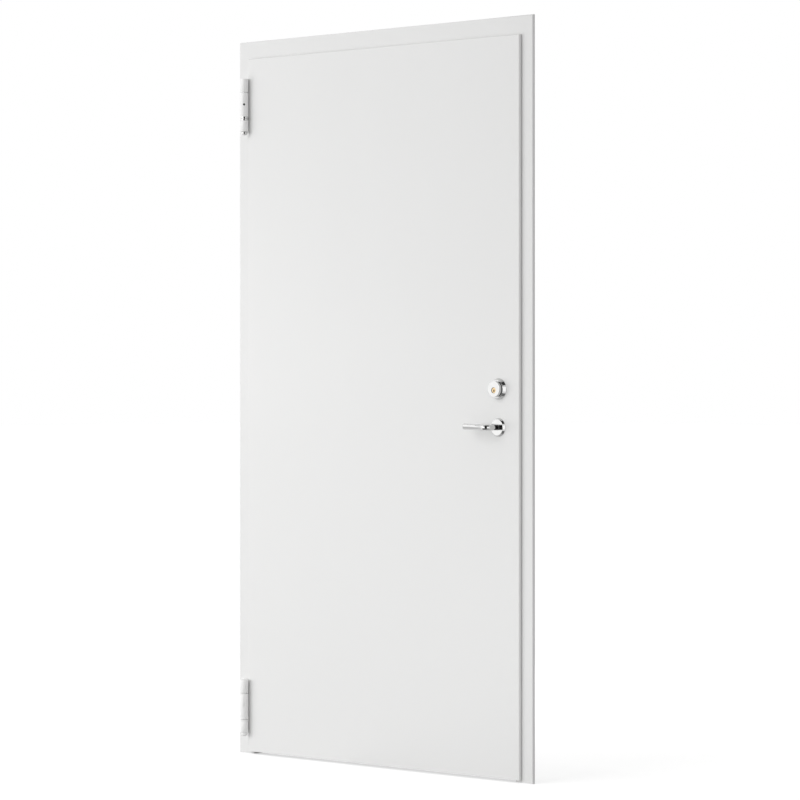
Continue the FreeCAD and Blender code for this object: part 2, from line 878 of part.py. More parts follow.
save("outer_cylinder_ring", cylinder_ring())
save("inner_cylinder_ring", to_inner_side(cylinder_ring()))
save("cylinder_housing", cylinder_housing())
save("key_plug", key_plug())
save("thumb_turn", thumb_turn())
save("outer_rose", rose())
save("inner_rose", to_inner_side(rose()))
save("outer_lever", lever())
save("inner_lever", to_inner_side(lever()))
save("lever_spindle", lever_spindle())
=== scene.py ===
import json
import math

import bmesh
import bpy
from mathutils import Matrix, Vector


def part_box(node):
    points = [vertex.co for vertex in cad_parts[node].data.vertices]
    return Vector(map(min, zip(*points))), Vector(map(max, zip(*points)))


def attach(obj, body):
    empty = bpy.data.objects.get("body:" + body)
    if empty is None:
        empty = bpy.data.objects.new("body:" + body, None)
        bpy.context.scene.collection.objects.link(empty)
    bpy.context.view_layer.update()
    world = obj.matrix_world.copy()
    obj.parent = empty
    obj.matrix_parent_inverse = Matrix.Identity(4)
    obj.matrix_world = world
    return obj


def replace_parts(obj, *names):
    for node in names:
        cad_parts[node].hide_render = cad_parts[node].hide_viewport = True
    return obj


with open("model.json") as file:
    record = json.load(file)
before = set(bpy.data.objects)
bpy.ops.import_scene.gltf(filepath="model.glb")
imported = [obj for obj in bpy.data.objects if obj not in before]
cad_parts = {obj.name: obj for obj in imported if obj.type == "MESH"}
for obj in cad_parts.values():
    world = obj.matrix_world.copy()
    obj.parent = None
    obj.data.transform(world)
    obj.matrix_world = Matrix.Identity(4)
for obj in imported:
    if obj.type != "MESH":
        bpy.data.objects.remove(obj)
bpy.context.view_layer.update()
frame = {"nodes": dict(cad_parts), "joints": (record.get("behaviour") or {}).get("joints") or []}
nodes = frame["nodes"]
joint_place = {joint["name"]: Vector(joint["pos_m"]) for joint in frame["joints"]}

# The view. A long lens at chest height looks level at the door's front, from well round on the
# lock's side, with the film shifted down so that the jambs stay upright.
view_place = (7.986, -7.184, 1.0995)
view_turn = math.radians(45.57)
lens_length = 163.8
film_width = 36.0
picture_width = 800
picture_drop = 21
camera_data = bpy.data.cameras.new("photo_view")
camera_data.lens = lens_length
camera_data.sensor_width = film_width
camera_data.shift_y = -picture_drop / picture_width
camera = bpy.data.objects.new("photo_view", camera_data)
camera.location = view_place
camera.rotation_euler = (math.pi / 2, 0, view_turn)
bpy.context.scene.collection.objects.link(camera)
bpy.context.scene.camera = camera
bpy.context.scene.view_settings.view_transform = "Standard"

# The studio floor. Pale and plain, with a soft shadow, and white to the camera and to polished
# metal wherever nothing shades it.
floor_tone = 0.60
floor_lift = 0.58
floor_roughness = 0.9
floor_gloss = 0.1
floor_reach = 60.0
floor_drop = 0.0005


def seen_rays(tree):
    """One where the camera, a mirror or a pane looks, and nothing where light is only gathered."""
    path = tree.nodes.new("ShaderNodeLightPath")
    seen = path.outputs["Is Camera Ray"]
    for kind in ("Is Glossy Ray", "Is Transmission Ray"):
        either = tree.nodes.new("ShaderNodeMath")
        either.operation = "MAXIMUM"
        tree.links.new(seen, either.inputs[0])
        tree.links.new(path.outputs[kind], either.inputs[1])
        seen = either.outputs[0]
    return seen


def flat_card(name, corners, material):
    """A flat four-sided sheet of the studio, with its corners given in order."""
    mesh = bpy.data.meshes.new(name)
    mesh.from_pydata([tuple(corner) for corner in corners], [], [(0, 1, 2, 3)])
    mesh.materials.append(material)
    card = bpy.data.objects.new(name, mesh)
    bpy.context.scene.collection.objects.link(card)
    return card


def floor_finish():
    material = bpy.data.materials.new("studio_floor")
    material.use_nodes = True
    tree = material.node_tree
    shader = tree.nodes["Principled BSDF"]
    shader.inputs["Base Color"].default_value = (floor_tone, floor_tone, floor_tone, 1)
    shader.inputs["Roughness"].default_value = floor_roughness
    shader.inputs["Specular IOR Level"].default_value = floor_gloss
    scaled = tree.nodes.new("ShaderNodeMath")
    scaled.operation = "MULTIPLY"
    scaled.inputs[1].default_value = floor_lift
    tree.links.new(seen_rays(tree), scaled.inputs[0])
    glow = tree.nodes.new("ShaderNodeEmission")
    tree.links.new(scaled.outputs[0], glow.inputs["Strength"])
    both = tree.nodes.new("ShaderNodeAddShader")
    tree.links.new(shader.outputs[0], both.inputs[0])
    tree.links.new(glow.outputs[0], both.inputs[1])
    tree.links.new(both.outputs[0], tree.nodes["Material Output"].inputs["Surface"])
    return material


flat_card("studio_floor", [
    (-floor_reach, -floor_reach, -floor_drop), (floor_reach, -floor_reach, -floor_drop),
    (floor_reach, floor_reach, -floor_drop), (-floor_reach, floor_reach, -floor_drop),
], floor_finish())

# The light. A white sky, dimmer for what it lights than for the eye, a broad high light from the
# front, which sets the short shadows of hinges and lap, and weak lamps at the side, behind and low.
sky_on_objects = 0.572
high_light = 0.99
high_light_turn = math.radians(-10)
high_light_rise = math.radians(22)
high_light_spread = math.radians(50)
high_light_distance = 5.0
side_lamp_watts = 40.0
back_lamp_watts = 38.0
low_lamp_watts = 0.85


def white_sky():
    world = bpy.data.worlds.new("studio_sky")
    bpy.context.scene.world = world
    world.use_nodes = True
    tree = world.node_tree
    sky = tree.nodes["Background"]
    sky.inputs["Color"].default_value = (1, 1, 1, 1)
    strength = tree.nodes.new("ShaderNodeMapRange")
    strength.inputs["To Min"].default_value = sky_on_objects
    strength.inputs["To Max"].default_value = 1.0
    tree.links.new(seen_rays(tree), strength.inputs["Value"])
    tree.links.new(strength.outputs["Result"], sky.inputs["Strength"])


def place_lamp(name, data, place, aim):
    lamp = bpy.data.objects.new(name, data)
    lamp.location = place
    lamp.rotation_euler = Vector(aim).to_track_quat("-Z", "Y").to_euler()
    bpy.context.scene.collection.objects.link(lamp)
    return lamp


white_sky()
high_data = bpy.data.lights.new("high_light", "SUN")
high_data.energy = high_light
high_data.angle = high_light_spread
towards_light = Vector((
    math.sin(high_light_turn) * math.cos(high_light_rise),
    -math.cos(high_light_turn) * math.cos(high_light_rise),
    math.sin(high_light_rise),
))
place_lamp("high_light", high_data, towards_light * high_light_distance, -towards_light)
for name, watts, size, place, aim in (
    ("side_lamp", side_lamp_watts, 2.0, (-2.2, -2.6, 0.45), (2.75, 2.6, 0)),
    ("back_lamp", back_lamp_watts, 2.0, (-1.2, 3.2, 1.30), (1.8, -3.2, -0.2)),
    ("low_lamp", low_lamp_watts, 0.6, (1.30, -1.05, 0.16), (-0.25, 1.05, -0.10)),
):
    lamp_data = bpy.data.lights.new(name, "AREA")
    lamp_data.shape = "SQUARE"
    lamp_data.size = size
    lamp_data.energy = watts
    place_lamp(name, lamp_data, place, aim).visible_glossy = False

# Cards that only polished metal shows, as a photographer sets them round chrome to draw its edges.
# Dark ones stand by the lock, in front, by the hinge and inside, and lie overhead and below. A
# grey one stands low on the left, and bright ones stand left and right.
lock_place = Vector(joint_place["lever_turn"])
hinge_place = Vector((joint_place["leaf_hinge"].x, joint_place["leaf_hinge"].y, 0))


def card_finish(name, tone):
    material = bpy.data.materials.new(name)
    material.use_nodes = True
    tree = material.node_tree
    glow = tree.nodes.new("ShaderNodeEmission")
    glow.inputs["Color"].default_value = (tone, tone, tone, 1)
    tree.links.new(glow.outputs[0], tree.nodes["Material Output"].inputs["Surface"])
    return material


def metal_card(name, corners, tone):
    card = flat_card(name, corners, card_finish(name, tone))
    card.visible_camera = False
    card.visible_diffuse = False
    card.visible_shadow = False
    card.visible_transmission = False


def level_card(name, low, high, height, tone):
    """A level card between two corners (x, y)."""
    metal_card(name, [
        (low[0], low[1], height), (high[0], low[1], height),
        (high[0], high[1], height), (low[0], high[1], height),
    ], tone)


def upright_card(name, foot, turn, distance, width, low, high, tone):
    """An upright card that faces a foot point, from a turn in degrees off the way the door faces."""
    angle = math.radians(turn)
    out = Vector((math.sin(angle), -math.cos(angle), 0))
    side = Vector((math.cos(angle), math.sin(angle), 0)) * (width / 2)
    middle = Vector((foot.x, foot.y, 0)) + out * distance
    metal_card(name, [
        middle - side + Vector((0, 0, low)), middle + side + Vector((0, 0, low)),
        middle + side + Vector((0, 0, high)), middle - side + Vector((0, 0, high)),
    ], tone)


for name, foot, turn, distance, width, low, high, tone in (
    ("dark_card_by_lock", lock_place, 38, 1.0, 0.66, 0.03, 1.90, 0.012),
    ("dark_card_in_front", lock_place, 8, 0.95, 1.30, 1.60, 2.70, 0.03),
    ("dark_card_by_hinge", hinge_place, 45, 0.35, 0.15, 1.30, 2.05, 0.012),
    ("dark_card_inside", lock_place, 142, 1.0, 0.66, 0.03, 1.90, 0.02),
    ("grey_card_low_left", lock_place, -69, 1.8, 1.12, 0.0, 0.95, 0.75),
    ("bright_card_left", lock_place, -60, 2.2, 2.80, 0.70, 4.20, 1.45),
    ("bright_card_right", lock_place, 78, 2.0, 1.30, 0.20, 1.75, 1.50),
):
    upright_card(name, foot, turn, distance, width, low, high, tone)
for name, low, high, height, tone in (
    ("dark_card_overhead", (0.92, -0.85), (2.60, 0.40), 2.20, 0.05),
    ("dark_card_below", (0.45, -1.50), (2.25, 0.40), 0.010, 0.20),
):
    level_card(name, low, high, height, tone)

# The frame. One sheet of 2 mm steel, folded into face, reveal and stop and mitred at the head,
# powder coated white: a fine orange peel in the gloss and a barely uneven tone.
mm = 0.001
frame_white = (0.790, 0.790, 0.785)
frame_roughness = 0.42
coat_shade = 0.993
coat_gloss_play = 0.02
noise_low = 0.3
noise_high = 0.7


def start_finish(name, colour, roughness, metallic=0.0):
    """New node material. Returns it with its tree, its shader and the object's coordinates."""
    material = bpy.data.materials.new(name)
    material.use_nodes = True
    tree = material.node_tree
    shader = tree.nodes["Principled BSDF"]
    shader.inputs["Base Color"].default_value = (*colour, 1)
    shader.inputs["Roughness"].default_value = roughness
    shader.inputs["Metallic"].default_value = metallic
    place = tree.nodes.new("ShaderNodeTexCoord").outputs["Object"]
    return material, tree, shader, place


def grain(tree, place, scale, detail=2.0, stretch=(1, 1, 1)):
    """Noise over the object, finer along an axis where its stretch is over 1."""
    fit = tree.nodes.new("ShaderNodeMapping")
    fit.inputs["Scale"].default_value = stretch
    tree.links.new(place, fit.inputs["Vector"])
    noise = tree.nodes.new("ShaderNodeTexNoise")
    noise.inputs["Scale"].default_value = scale
    noise.inputs["Detail"].default_value = detail
    tree.links.new(fit.outputs["Vector"], noise.inputs["Vector"])
    return noise.outputs["Fac"]


def ranged(tree, noise, low, high):
    """The noise as a value between low and high."""
    span = tree.nodes.new("ShaderNodeMapRange")
    span.inputs["From Min"].default_value = noise_low
    span.inputs["From Max"].default_value = noise_high
    span.inputs["To Min"].default_value = low
    span.inputs["To Max"].default_value = high
    tree.links.new(noise, span.inputs["Value"])
    return span.outputs["Result"]


def toned(tree, noise, shader, dark, light):
    """Colour of the shader between two tones, by the noise."""
    ramp = tree.nodes.new("ShaderNodeValToRGB")
    ramp.color_ramp.elements[0].position = noise_low
    ramp.color_ramp.elements[0].color = (*dark, 1)
    ramp.color_ramp.elements[1].position = noise_high
    ramp.color_ramp.elements[1].color = (*light, 1)
    tree.links.new(noise, ramp.inputs["Fac"])
    tree.links.new(ramp.outputs["Color"], shader.inputs["Base Color"])


def relief(tree, noise, shader, depth, strength=1.0):
    """Bump of the shader, with its depth in metres."""
    bump = tree.nodes.new("ShaderNodeBump")
    bump.inputs["Distance"].default_value = depth
    bump.inputs["Strength"].default_value = strength
    tree.links.new(noise, bump.inputs["Height"])
    tree.links.new(bump.outputs["Normal"], shader.inputs["Normal"])


def powder_coat(name, colour, roughness):
    """Baked powder paint: wide, barely uneven tones, fine specks in its gloss, and orange peel."""
    material, tree, shader, place = start_finish(name, colour, roughness)
    shade = tuple(value * coat_shade for value in colour)
    toned(tree, grain(tree, place, scale=1.6), shader, shade, colour)
    gloss_grain = grain(tree, place, scale=90.0)
    gloss = ranged(tree, gloss_grain, roughness - coat_gloss_play, roughness + coat_gloss_play)
    tree.links.new(gloss, shader.inputs["Roughness"])
    relief(tree, grain(tree, place, scale=620.0, detail=1.5), shader, depth=0.00004, strength=0.4)
    return material


def dress(material, *names):
    """CAD nodes whose shape stays get their finish."""
    for name in names:
        nodes[name].data.materials.clear()
        nodes[name].data.materials.append(material)


frame_paint = powder_coat("frame_powder_coat", frame_white, frame_roughness)
dress(
    frame_paint, "frame_head", "hinge_jamb_face", "hinge_jamb_reveal", "hinge_jamb_stop",
    "lock_jamb_face", "lock_jamb_reveal", "lock_jamb_strike_web", "lock_jamb_stop",
)

# The leaf. Two trays of 1.5 mm steel, the front one's edge turned into the lap, powder coated
# like the frame, in a white that is a shade lighter.
leaf_white = (0.800, 0.800, 0.795)
leaf_roughness = 0.40
leaf_paint = powder_coat("leaf_powder_coat", leaf_white, leaf_roughness)
dress(leaf_paint, "leaf_front_panel", "leaf_back_panel")

# The leaf's filling. Mineral wool, pressed into stiff boards, yellow-green and fibrous. The boards
# are glued between the two trays and fill the leaf from edge to edge.
wool_dark = (0.30, 0.27, 0.13)
wool_light = (0.52, 0.48, 0.28)


def wool_finish():
    material, tree, shader, place = start_finish("mineral_wool", wool_light, roughness=0.95)
    fibre = grain(tree, place, scale=160.0, detail=6.0, stretch=(1, 4, 1))
    toned(tree, fibre, shader, wool_dark, wool_light)
    relief(tree, fibre, shader, depth=0.002)
    return material


dress(wool_finish(), "leaf_core")

# Fire strips. Grey graphite strips, 12 mm wide, which swell in a fire and close the gap. They are
# stuck on the leaf's edges just behind the lap.
strip_dark = (0.055, 0.055, 0.058)
strip_light = (0.11, 0.11, 0.115)


def strip_finish():
    material, tree, shader, place = start_finish("fire_strip", strip_light, roughness=0.75)
    speck = grain(tree, place, scale=900.0, detail=4.0)
    toned(tree, speck, shader, strip_dark, strip_light)
    relief(tree, speck, shader, depth=0.0001)
    return material


dress(strip_finish(), "fire_strips")

# Seals. Matt black rubber, extruded with a soft lip, with the faint lines that this leaves. They
# are pressed on the frame's stop, one on each jamb and one under the head.
rubber_dark = (0.018, 0.018, 0.018)
rubber_light = (0.034, 0.034, 0.035)


def rubber_finish(name, stretch):
    """Black rubber, whose lines run along the axis with the small stretch."""
    material, tree, shader, place = start_finish(name, rubber_light, roughness=0.62)
    lines = grain(tree, place, scale=400.0, stretch=stretch)
    toned(tree, lines, shader, rubber_dark, rubber_light)
    relief(tree, lines, shader, depth=0.00008)
    return material


dress(rubber_finish("upright_seal_rubber", stretch=(2, 2, 0.01)), "hinge_side_seal", "lock_side_seal")
dress(rubber_finish("head_seal_rubber", stretch=(0.01, 2, 2)), "head_seal")

# Fixing sleeves, strike box and lock case. Zinc plated steel with a dull bluish spangle, welded
# behind the jambs or, as the case is, pushed into the leaf's edge.
zinc_dark = (0.42, 0.43, 0.45)
zinc_light = (0.62, 0.63, 0.64)


def zinc_finish():
    material, tree, shader, place = start_finish(
        "zinc_plate", zinc_light, roughness=0.38, metallic=1.0
    )
    toned(tree, grain(tree, place, scale=120.0, detail=3.0), shader, zinc_dark, zinc_light)
    gloss = ranged(tree, grain(tree, place, scale=300.0), low=0.32, high=0.50)
    tree.links.new(gloss, shader.inputs["Roughness"])
    relief(tree, grain(tree, place, scale=900.0), shader, depth=0.00004)
    return material


dress(zinc_finish(), "hinge_jamb_sleeves", "lock_jamb_sleeves", "strike_box", "lock_case")

# Barrel hinges. Turned steel knuckles on legs and a plate, welded on and painted with the door.
# Each barrel is one knuckle of the leaf between two of the frame, on a pin with bright rings.
hinge_edge = 0.4 * mm
# The hinges' white is lighter than the leaf's. This is painted light: it brightens the barrels' sides
# that face away from the high light.
hinge_white_with_painted_light = (0.900, 0.900, 0.895)
hinge_roughness = 0.36
edge_segments = 3
merge_within = 1e-6
flat_within = math.radians(0.5)
edge_from = math.radians(35)


def brushed_finish(name, dark, light, roughness, stretch):
    """Turned or ground steel: fine lines in its gloss along the way that it was worked."""
    material, tree, shader, place = start_finish(name, light, roughness, metallic=1.0)
    lines = grain(tree, place, scale=900.0, stretch=stretch)
    toned(tree, grain(tree, place, scale=30.0), shader, dark, light)
    gloss = ranged(tree, lines, low=roughness - 0.06, high=roughness + 0.08)
    tree.links.new(gloss, shader.inputs["Roughness"])
    relief(tree, lines, shader, depth=0.00002, strength=0.6)
    return material


def add_piece(name, mesh, material, body):
    """A finished mesh becomes a piece that rides on a body."""
    mesh.materials.clear()
    mesh.materials.append(material)
    piece = bpy.data.objects.new(name, mesh)
    bpy.context.scene.collection.objects.link(piece)
    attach(piece, body)
    return piece


def finished_mesh(holder):
    """Plain mesh of an object with its modifiers done. The object itself goes."""
    evaluated = holder.evaluated_get(bpy.context.evaluated_depsgraph_get())
    mesh = bpy.data.meshes.new_from_object(evaluated)
    bpy.data.objects.remove(holder)
    return mesh


def eased_copy(node, edge_width):
    """Mesh of a CAD node's form with its flats merged, its corners eased and its curves smooth."""
    work = bmesh.new()
    work.from_mesh(nodes[node].data)
    bmesh.ops.remove_doubles(work, verts=work.verts, dist=merge_within)
    bmesh.ops.dissolve_limit(
        work, angle_limit=flat_within, verts=work.verts, edges=work.edges,
        use_dissolve_boundaries=False,
    )
    mesh = bpy.data.meshes.new(node + "_eased")
    work.to_mesh(mesh)
    work.free()
    mesh.shade_smooth()
    holder = bpy.data.objects.new(node + "_holder", mesh)
    bpy.context.scene.collection.objects.link(holder)
    bevel = holder.modifiers.new("eased", "BEVEL")
    bevel.width = edge_width
    bevel.segments = edge_segments
    bevel.limit_method = "ANGLE"
    bevel.angle_limit = edge_from
    bevel.harden_normals = True
    return finished_mesh(holder)


# The hinge coat carries that lighter white, painted light on the barrels and on what it paints over
# below.
hinge_paint = powder_coat("hinge_coat_with_painted_light", hinge_white_with_painted_light, hinge_roughness)
for node, body in (("hinge_frame_halves", "frame"), ("hinge_leaf_halves", "leaf")):
    eased = eased_copy(node, hinge_edge)
    half = add_piece(node + "_painted", eased, hinge_paint, body)
    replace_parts(half, node)

# Hinge rings and pins. Steel, turned: the rings that the leaf runs on and the pin's rounded tip
# below the last knuckle. They are bright on the upper hinge, and painted over on the lower one.
ring_radius = 12.3
ring_thickness = 5.5
ring_edge = 0.5
ring_play = 0.05
ring_bright = (0.68, 0.68, 0.67)
ring_dull = (0.56, 0.56, 0.56)
pin_radius = 7.0
pin_tip_radius = 9.5
pin_tip_height = 10.5
pin_tip_rounding = 6.5
pin_tip_rim = 0.6
pin_pole = 0.3
grub_diameter = 6.0 * mm
between_hinges = 1.0
right = Vector((1, 0, 0))
upward = Vector((0, 0, 1))
turned_steps = 96
arc_steps = 5
arc_guard = 0.05
crease = 32


def skin(name, rings, joined=False, sharp=crease):
    """Closed mesh over rings of points, whose ends are covered, or joined as on a bored piece.
    It looks creased where it turns by more than sharp, in degrees."""
    steps = len(rings[0])
    vertices = [tuple(point) for ring in rings for point in ring]
    pairs = [(index, index + 1) for index in range(len(rings) - 1)]
    if joined:
        pairs.append((len(rings) - 1, 0))
    faces = []
    for first, second in pairs:
        for step in range(steps):
            after = (step + 1) % steps
            faces.append((
                first * steps + step, first * steps + after,
                second * steps + after, second * steps + step,
            ))
    if not joined:
        faces.append(tuple(range(steps)))
        faces.append(tuple(range((len(rings) - 1) * steps, len(rings) * steps)))
    mesh = bpy.data.meshes.new(name)
    mesh.from_pydata(vertices, [], faces)
    work = bmesh.new()
    work.from_mesh(mesh)
    bmesh.ops.recalc_face_normals(work, faces=work.faces)
    work.to_mesh(mesh)
    work.free()
    mesh.shade_smooth()
    mesh.set_sharp_from_angle(angle=math.radians(sharp))
    return mesh


def rounded_outline(corners):
    """Points (radius, height) through corners (radius, height, rounding). Each rounding is an arc,
    with a point just before and after it that keeps the flats beside it flat."""
    points = []
    for index, (radius, height, rounding) in enumerate(corners):
        here = Vector((radius, height))
        if rounding <= 0:
            points.append(here)
            continue
        before = (Vector(corners[index - 1][:2]) - here).normalized()
        after = (Vector(corners[(index + 1) % len(corners)][:2]) - here).normalized()
        half = before.angle(after) / 2
        reach = rounding / math.tan(half)
        centre = here + (before + after).normalized() * (rounding / math.sin(half))
        start = here + before * reach - centre
        end = here + after * reach - centre
        sweep = start.angle(end)
        points.append(here + before * (reach + arc_guard))
        for step in range(arc_steps + 1):
            angle = sweep * step / arc_steps
            mixed = start * math.sin(sweep - angle) + end * math.sin(angle)
            points.append(centre + mixed / math.sin(sweep))
        points.append(here + after * (reach + arc_guard))
    return points


def circle(centre, out, radius, height, drop=0.0):
    """Ring of points round an axis, in millimetres: its height out of the centre, and its drop."""
    middle = centre + out * (height * mm) - upward * (drop * mm)
    across = out.cross(right)
    points = []
    for step in range(turned_steps):
        angle = 2 * math.pi * step / turned_steps
        points.append(middle + (right * math.cos(angle) + across * math.sin(angle)) * (radius * mm))
    return points


def turned(name, corners, centre, out, joined=True):
    """Turned piece: an outline swept round the axis that leaves its centre outwards."""
    outline = rounded_outline(corners)
    return skin(name, [circle(centre, out, point.x, point.y) for point in outline], joined)


def joined_mesh(name, *meshes):
    """One mesh of several closed forms."""
    work = bmesh.new()
    for mesh in meshes:
        work.from_mesh(mesh)
    whole = bpy.data.meshes.new(name)
    work.to_mesh(whole)
    work.free()
    return whole


def paint_over_low(piece, paint):
    """What is below the middle of the door is painted over."""
    piece.data.materials.append(paint)
    for face in piece.data.polygons:
        if face.center.z < between_hinges:
            face.material_index = 1


ring_steel = brushed_finish(
    "hinge_ring_steel", ring_dull, ring_bright, roughness=0.12, stretch=(0.05, 0.05, 1)
)
grub_low, grub_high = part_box("hinge_grub_screws")
hinge_spacing = grub_high.z - grub_low.z - grub_diameter
pins_low, pins_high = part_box("hinge_pins")
pin_length = (pins_high.z - pins_low.z - hinge_spacing) / mm
ring_outline = [
    (pin_radius + ring_play, 0, 0), (ring_radius, 0, ring_edge),
    (ring_radius, ring_thickness, ring_edge), (pin_radius + ring_play, ring_thickness, 0),
]
pin_outline = [
    (pin_pole, 0, 0), (pin_tip_radius, 0, pin_tip_rounding),
    (pin_tip_radius, pin_tip_height, pin_tip_rim), (pin_radius, pin_tip_height, 0),
    (pin_radius, pin_length, 0), (pin_pole, pin_length, 0),
]
for node, body, corners, bored in (
    ("hinge_leaf_rings", "leaf", ring_outline, True),
    ("hinge_frame_rings", "frame", ring_outline, True),
    ("hinge_pins", "leaf", pin_outline, False),
):
    lower = Vector((hinge_place.x, hinge_place.y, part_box(node)[0].z))
    upper = lower + upward * hinge_spacing
    pair = [turned(node + "_one", corners, foot, upward, bored) for foot in (lower, upper)]
    piece = add_piece(node + "_turned", joined_mesh(node, *pair), ring_steel, body)
    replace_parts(piece, node)
    paint_over_low(piece, hinge_paint)

# Grub screws. Small hexagon socket screws of steel, oiled black, which hold the pins in the
# leaf's knuckles. The lower one is painted over.
grub_radius = 2.85 * mm
grub_height = 4.0 * mm
grub_socket = 1.7 * mm
grub_angle = math.radians(45)
grub_recess = 0.2 * mm
barrel_radius = 12.0 * mm
oil_black = (0.10, 0.10, 0.10)
oil_grey = (0.20, 0.20, 0.20)
head_sides = 32
socket_sides = 6


def screw_tree():
    """Nodes that stand a headed screw with a six-sided socket on every point, facing one way."""
    tree = bpy.data.node_groups.new("socket_screws", "GeometryNodeTree")
    sockets = tree.interface
    sockets.new_socket("Geometry", in_out="INPUT", socket_type="NodeSocketGeometry")
    for name, kind in (
        ("Head radius", "NodeSocketFloat"), ("Head height", "NodeSocketFloat"),
        ("Socket radius", "NodeSocketFloat"), ("Facing", "NodeSocketVector"),
        ("Finish", "NodeSocketMaterial"),
    ):
        sockets.new_socket(name, in_out="INPUT", socket_type=kind)
    sockets.new_socket("Geometry", in_out="OUTPUT", socket_type="NodeSocketGeometry")
    given = tree.nodes.new("NodeGroupInput")
    result = tree.nodes.new("NodeGroupOutput")
    link = tree.links.new

    head = tree.nodes.new("GeometryNodeMeshCylinder")
    head.inputs["Vertices"].default_value = head_sides
    link(given.outputs["Head radius"], head.inputs["Radius"])
    link(given.outputs["Head height"], head.inputs["Depth"])
    recess = tree.nodes.new("GeometryNodeMeshCylinder")
    recess.inputs["Vertices"].default_value = socket_sides
    link(given.outputs["Socket radius"], recess.inputs["Radius"])
    link(given.outputs["Head height"], recess.inputs["Depth"])
    half = tree.nodes.new("ShaderNodeVectorMath")
    half.operation = "SCALE"
    half.inputs[0].default_value = (0, 0, 0.5)
    link(given.outputs["Head height"], half.inputs["Scale"])
    raised = tree.nodes.new("GeometryNodeTransform")
    link(recess.outputs["Mesh"], raised.inputs["Geometry"])
    link(half.outputs["Vector"], raised.inputs["Translation"])
    cut = tree.nodes.new("GeometryNodeMeshBoolean")
    cut.operation = "DIFFERENCE"
    link(head.outputs["Mesh"], cut.inputs["Mesh 1"])
    link(raised.outputs["Geometry"], cut.inputs["Mesh 2"])
    sunk = tree.nodes.new("ShaderNodeVectorMath")
    sunk.operation = "SCALE"
    sunk.inputs[0].default_value = (0, 0, -0.5)
    link(given.outputs["Head height"], sunk.inputs["Scale"])
    seated = tree.nodes.new("GeometryNodeTransform")
    link(cut.outputs["Mesh"], seated.inputs["Geometry"])
    link(sunk.outputs["Vector"], seated.inputs["Translation"])

    points = tree.nodes.new("GeometryNodeMeshToPoints")
    link(given.outputs["Geometry"], points.inputs["Mesh"])
    turn = tree.nodes.new("FunctionNodeAlignRotationToVector")
    turn.axis = "Z"
    link(given.outputs["Facing"], turn.inputs["Vector"])
    stand = tree.nodes.new("GeometryNodeInstanceOnPoints")
    link(points.outputs["Points"], stand.inputs["Points"])
    link(seated.outputs["Geometry"], stand.inputs["Instance"])
    link(turn.outputs["Rotation"], stand.inputs["Rotation"])
    real = tree.nodes.new("GeometryNodeRealizeInstances")
    link(stand.outputs["Instances"], real.inputs["Geometry"])
    finish = tree.nodes.new("GeometryNodeSetMaterial")
    link(real.outputs["Geometry"], finish.inputs["Geometry"])
    link(given.outputs["Finish"], finish.inputs["Material"])
    link(finish.outputs["Geometry"], result.inputs["Geometry"])
    return tree


def screws(tree, places, radius, height, socket_radius, facing, finish):
    """Mesh of one screw at each place. A place is the middle of a head's outer face."""
    seeds = bpy.data.meshes.new("screw_places")
    seeds.from_pydata([tuple(place) for place in places], [], [])
    holder = bpy.data.objects.new("screw_holder", seeds)
    bpy.context.scene.collection.objects.link(holder)
    maker = holder.modifiers.new("screws", "NODES")
    maker.node_group = tree
    values = {
        "Head radius": radius, "Head height": height, "Socket radius": socket_radius,
        "Facing": tuple(facing), "Finish": finish,
    }
    for item in tree.interface.items_tree:
        if item.item_type == "SOCKET" and item.name in values:
            maker[item.identifier] = values[item.name]
    return finished_mesh(holder)


socket_screws = screw_tree()
oiled_steel = brushed_finish(
    "oiled_black_steel", oil_black, oil_grey, roughness=0.35, stretch=(1, 1, 1)
)
grub_out = Vector((math.sin(grub_angle), -math.cos(grub_angle), 0))
grub_places = [
    hinge_place + upward * height + grub_out * (barrel_radius - grub_recess)
    for height in (grub_low.z + grub_diameter / 2, grub_high.z - grub_diameter / 2)
]
grubs = add_piece(
    "hinge_grub_screw_heads",
    screws(socket_screws, grub_places, grub_radius, grub_height, grub_socket, grub_out, oiled_steel),
    oiled_steel, "leaf",
)
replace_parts(grubs, "hinge_grub_screws")
paint_over_low(grubs, hinge_paint)

# Lock plates and bolts. The edge plate in the leaf and the strike in the jamb are stainless
# steel, ground along their length, each held by two screws; the bolts are drawn back.
plate_edge = 0.25 * mm
plate_dull = (0.56, 0.56, 0.55)
plate_bright = (0.68, 0.68, 0.67)
plate_screw_radius = 4.0 * mm
plate_screw_height = 1.2 * mm
plate_screw_socket = 2.0 * mm
plate_screw_from_end = 12.0 * mm
plate_screw_proud = 0.15 * mm
plate_steel = brushed_finish(
    "ground_stainless", plate_dull, plate_bright, roughness=0.30, stretch=(1, 1, 0.02)
)
for node, body in (
    ("lock_forend", "leaf"), ("latch_bolt", "leaf"), ("dead_bolt", "leaf"), ("strike_plate", "frame"),
):
    eased = eased_copy(node, plate_edge)
    plate = add_piece(node + "_ground", eased, plate_steel, body)
    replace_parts(plate, node)
for node, body, facing in (("lock_forend", "leaf", 1), ("strike_plate", "frame", -1)):
    low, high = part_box(node)
    outer = high.x if facing > 0 else low.x
    middle = (low.y + high.y) / 2
    places = [
        Vector((outer + facing * plate_screw_proud, middle, height))
        for height in (low.z + plate_screw_from_end, high.z - plate_screw_from_end)
    ]
    add_piece(
        node + "_screws",
        screws(socket_screws, places, plate_screw_radius, plate_screw_height, plate_screw_socket,
               Vector((facing, 0, 0)), plate_steel),
        plate_steel, body,
    )

# Cylinder rings. Conical rings of polished chrome, turned, with small roundings that catch the
# light. One sits round the collar outside, and one of the same form round the thumb turn inside.
leaf_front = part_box("leaf_front_panel")[0].y
leaf_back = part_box("leaf_back_panel")[1].y
leaf_thickness = leaf_back - leaf_front
to_front = Vector((0, -1, 0))
to_back = Vector((0, 1, 0))
chrome_dark = (0.60, 0.60, 0.60)
chrome_light = (0.64, 0.64, 0.635)


